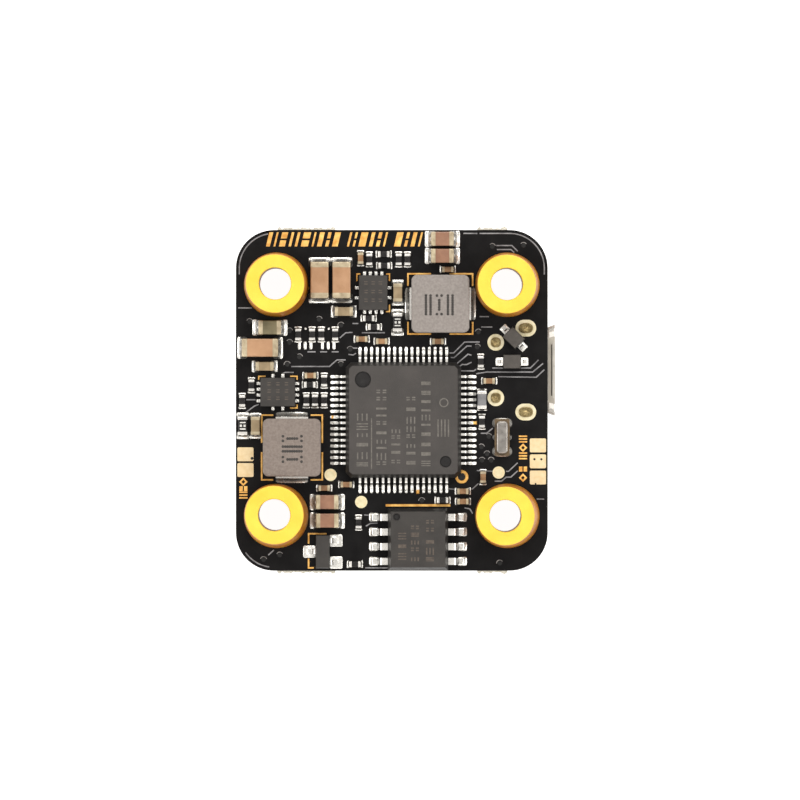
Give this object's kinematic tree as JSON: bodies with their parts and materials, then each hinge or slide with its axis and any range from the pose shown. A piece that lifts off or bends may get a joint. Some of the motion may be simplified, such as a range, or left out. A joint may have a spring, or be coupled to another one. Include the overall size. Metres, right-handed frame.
{
  "type": "flight controller board",
  "caption": "Small quadcopter flight controller board with a processor, power inductors, a USB socket, a motor controller socket, a boot button and soft mounting grommets.",
  "frame": {"origin": "centre of the 20 mm mounting pattern, on the underside of the bare board", "axes": "+Z leaves the processor side of the board, +Y points to the front edge with the title strip, +X to the edge with the USB socket's mouth"},
  "size_m": [0.0277, 0.03, 0.0076],
  "materials": {
    "board": "satin near-black solder mask",
    "solder": "bright solder",
    "tin": "bright tin plating",
    "processor_black": "fine matt moulding",
    "chip_black": "fine matt moulding",
    "inductor_grey": "matt pressed powder",
    "ceramic_tan": "fired ceramic",
    "ceramic_brown": "fired ceramic",
    "ceramic_khaki": "fired ceramic",
    "end_cap": "satin tinned end cap",
    "resistor_black": "glossy glaze",
    "ferrite_grey": "fired ferrite",
    "ceramic_base": "fired ceramic",
    "lid_silver": "satin plated lid",
    "gold_pad": "gold flash over copper",
    "socket_steel": "bright plated sheet",
    "socket_black": "moulded",
    "connector_cream": "moulded nylon",
    "button_black": "moulded",
    "light_lens": "clear epoxy",
    "grommet_yellow": "silicone, slightly glossy"
  },
  "bodies": {
    "board_assembly": {"barometer_base": "ceramic_base", "barometer_lid": "lid_silver", "boot_button_base": "socket_black", "boot_button_frame": "lid_silver", "circuit_board": "board", "crystal_base": "ceramic_base", "crystal_lid": "lid_silver", "diode_leads": "tin", "diode_packages": "chip_black", "esc_connector_contacts": "tin", "esc_connector_housing": "connector_cream", "esc_connector_tabs": "tin", "ferrite_bead_bodies": "ferrite_grey", "ferrite_bead_terminals": "tin", "flash_memory_leads": "tin", "flash_memory_package": "chip_black", "front_converter_package": "chip_black", "front_converter_pads": "tin", "front_inductor_core": "inductor_grey", "front_inductor_terminals": "tin", "grommet_front_left": "grommet_yellow", "grommet_front_right": "grommet_yellow", "grommet_rear_left": "grommet_yellow", "grommet_rear_right": "grommet_yellow", "gyro_package": "chip_black", "gyro_pads": "gold_pad", "large_capacitor_bodies": "ceramic_tan", "large_capacitor_terminals": "end_cap", "left_converter_package": "chip_black", "left_converter_pads": "tin", "left_inductor_core": "inductor_grey", "left_inductor_terminals": "tin", "medium_capacitor_bodies": "ceramic_brown", "medium_capacitor_terminals": "end_cap", "osd_chip_leads": "tin", "osd_chip_package": "chip_black", "plated_holes": "solder", "processor_leads": "tin", "processor_package": "processor_black", "resonator_base": "ceramic_base", "resonator_lid": "lid_silver", "small_capacitor_bodies": "ceramic_khaki", "small_capacitor_terminals": "end_cap", "small_resistor_bodies": "resistor_black", "small_resistor_terminals": "tin", "solder_jumper_pads": "gold_pad", "status_light_bases": "tin", "status_light_lenses": "light_lens", "test_pads": "gold_pad", "tiny_capacitor_bodies": "ceramic_tan", "tiny_capacitor_terminals": "end_cap", "tiny_resistor_bodies": "resistor_black", "tiny_resistor_terminals": "tin", "transistor_leads": "tin", "transistor_packages": "chip_black", "usb_contacts": "gold_pad", "usb_insulator": "socket_black", "usb_shell": "socket_steel", "wire_pads": "gold_pad"},
    "boot_button": {"boot_button_plunger": "button_black"}
  },
  "joints": [
    {"name": "boot_button_press", "type": "slide", "parent": "board_assembly", "child": "boot_button", "axis": [0, 0, 1], "range_m": [0, 0.0002], "stiffness_N_per_m": 6000}
  ]
}
